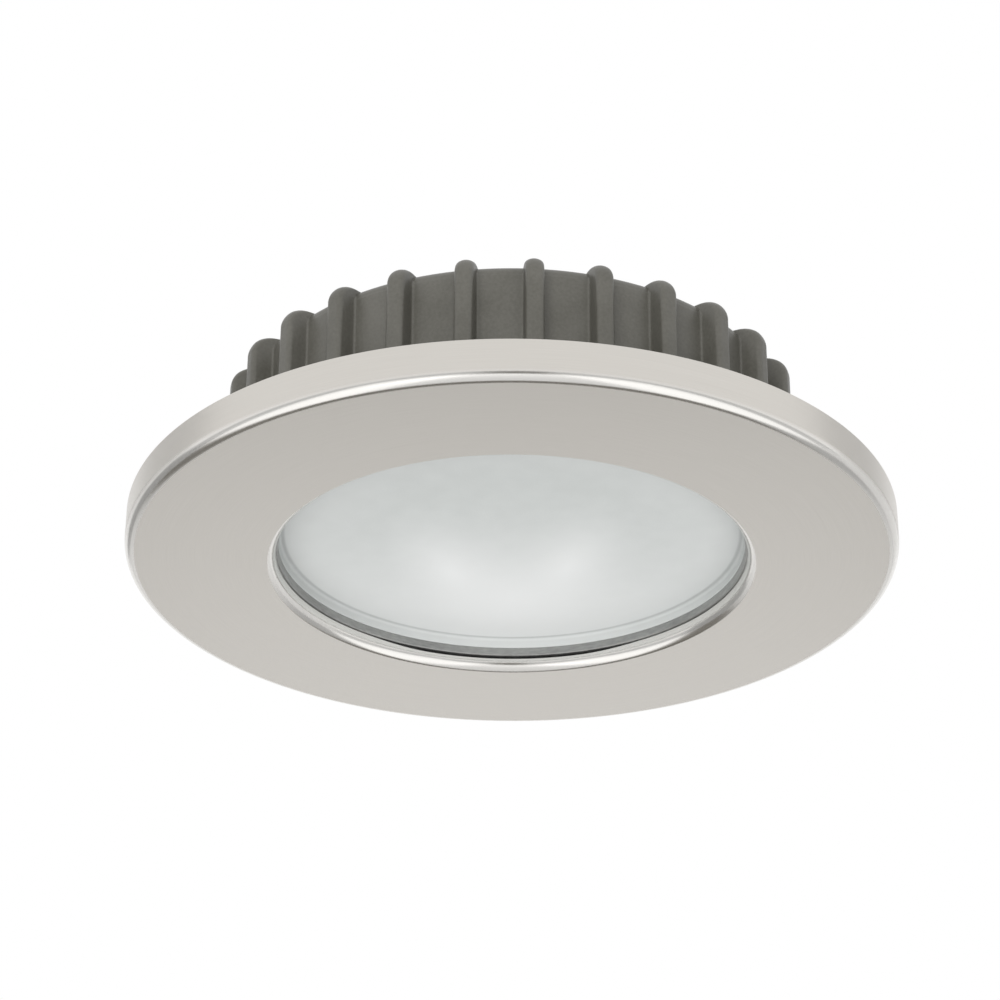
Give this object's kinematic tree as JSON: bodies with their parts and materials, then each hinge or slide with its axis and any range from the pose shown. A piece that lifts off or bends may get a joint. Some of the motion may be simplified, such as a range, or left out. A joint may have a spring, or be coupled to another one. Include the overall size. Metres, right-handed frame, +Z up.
{
  "type": "recessed soffit downlight",
  "caption": "Round recessed downlight: brushed steel pull-off rim, shallow frosted lens, ribbed die-cast housing with cable gland on top.",
  "frame": {"origin": "on the light's axis, in the plane of the soffit's surface, which the back edge of the rim and the flange gasket touch", "axes": "+Z up along the light's axis, into the soffit; -Y towards the viewer of the picture; +X to the viewer's right"},
  "size_m": [0.115, 0.115, 0.0469],
  "materials": {
    "trim_rim": "fine circular brushing, satin",
    "heat_sink_housing": "dark grey satin powder coat",
    "lens_retaining_ring": "satin grey",
    "lens": "frosted, opal white",
    "flange_gasket": "closed-cell foam",
    "rim_grip_springs": "spring strip",
    "retaining_ring_screws": "zinc plated",
    "lens_seal": "translucent silicone",
    "reflector": "white moulding",
    "led_board": "white solder mask on aluminium",
    "led_emitters": "white package with phosphor spot",
    "led_board_screws": "zinc plated",
    "thermal_pad": "soft filled silicone",
    "heat_spreader": "as turned",
    "heat_spreader_screws": "zinc plated",
    "board_standoffs": "turned",
    "driver_board": "green solder mask",
    "driver_board_screws": "zinc plated",
    "driver_inductor": "ferrite shield",
    "driver_capacitors": "sleeved can",
    "driver_chip": "moulded package",
    "driver_diodes": "moulded package",
    "supply_terminal": "green moulding",
    "terminal_screws": "zinc plated",
    "board_link_pins": "tinned brass",
    "link_pin_bush": "white nylon",
    "driver_insulator": "clear sheet",
    "gland_body": "black nylon",
    "gland_o_ring": "nitrile",
    "gland_lock_nut": "black nylon",
    "gland_seal": "nitrile",
    "gland_dome_nut": "black nylon"
  },
  "bodies": {
    "lamp": {"heat_sink_housing": "heat_sink_housing", "lens_retaining_ring": "lens_retaining_ring", "lens": "lens", "flange_gasket": "flange_gasket", "rim_grip_springs": "rim_grip_springs", "retaining_ring_screws": "retaining_ring_screws", "lens_seal": "lens_seal", "reflector": "reflector", "led_board": "led_board", "led_emitters": "led_emitters", "led_board_screws": "led_board_screws", "thermal_pad": "thermal_pad", "heat_spreader": "heat_spreader", "heat_spreader_screws": "heat_spreader_screws", "board_standoffs": "board_standoffs", "driver_board": "driver_board", "driver_board_screws": "driver_board_screws", "driver_inductor": "driver_inductor", "driver_capacitors": "driver_capacitors", "driver_chip": "driver_chip", "driver_diodes": "driver_diodes", "supply_terminal": "supply_terminal", "terminal_screws": "terminal_screws", "board_link_pins": "board_link_pins", "link_pin_bush": "link_pin_bush", "driver_insulator": "driver_insulator", "gland_body": "gland_body", "gland_o_ring": "gland_o_ring", "gland_lock_nut": "gland_lock_nut", "gland_seal": "gland_seal", "gland_dome_nut": "gland_dome_nut"},
    "rim": {"trim_rim": "trim_rim"}
  },
  "joints": [
    {"name": "rim_pull_off", "type": "slide", "parent": "lamp", "child": "rim", "axis": [0, 0, -1], "range_m": [0, 0.012]}
  ]
}
